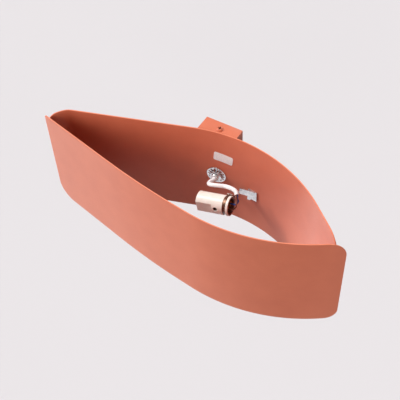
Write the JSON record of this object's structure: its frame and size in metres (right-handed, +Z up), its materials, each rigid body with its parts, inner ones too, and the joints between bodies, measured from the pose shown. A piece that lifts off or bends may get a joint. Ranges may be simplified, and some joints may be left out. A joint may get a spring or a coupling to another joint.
{
  "type": "wall light",
  "caption": "Leaf shaped wall light of bent coated steel strips, open above and below, with a wall box, a folded lamp bracket and a small ceramic screw lampholder.",
  "frame": {"origin": "centre of the wall plate's two screw slots, on the wall plane", "axes": "+Z up, +Y into the wall, so the light stands out towards -Y, +X to the right seen from the room"},
  "size_m": [0.3826, 0.1347, 0.1408],
  "materials": {
    "coat": "matte",
    "zinc": "satin",
    "brass": "satin",
    "spring_steel": "satin",
    "ceramic": "gloss",
    "white_plastic": "satin",
    "glass_fibre_sleeve": "matte",
    "brown_insulation": "matte",
    "blue_insulation": "matte",
    "green_insulation": "matte",
    "label_film": "satin"
  },
  "bodies": {
    "wall_side": {"wall_plate": "zinc", "plate_earth_screw": "brass"},
    "housing": {"front_strip": "coat", "back_strip": "coat", "wall_box": "coat", "press_nuts": "zinc", "nipple": "zinc", "tooth_washer": "zinc", "shade_lock_nut": "zinc", "box_lock_nut": "zinc", "earth_tag": "zinc", "earth_lead": "green_insulation", "nipple_bush": "white_plastic", "lead_sleeve": "glass_fibre_sleeve", "wire_live": "brown_insulation", "wire_neutral": "blue_insulation", "terminal_block": "white_plastic", "terminal_inserts": "brass", "terminal_block_screws": "zinc", "block_fixing_screw": "zinc", "holder_body": "ceramic", "holder_shell": "brass", "centre_contact": "brass", "holder_terminals": "brass", "holder_terminal_screws": "zinc", "holder_clip": "spring_steel", "clip_screw": "zinc", "lamp_bracket": "zinc", "rating_label": "label_film"},
    "top_screw": {"lock_screw_top": "coat"},
    "bottom_screw": {"lock_screw_bottom": "coat"}
  },
  "joints": [
    {"name": "housing_lift_off", "type": "slide", "parent": "wall_side", "child": "housing", "axis": [0, -1, 0], "range_m": [0, 0.03]},
    {"name": "lock_screw_top_out", "type": "slide", "parent": "housing", "child": "top_screw", "axis": [0, 0, 1], "range_m": [0, 0.004]},
    {"name": "lock_screw_bottom_out", "type": "slide", "parent": "housing", "child": "bottom_screw", "axis": [0, 0, -1], "range_m": [0, 0.004]}
  ]
}
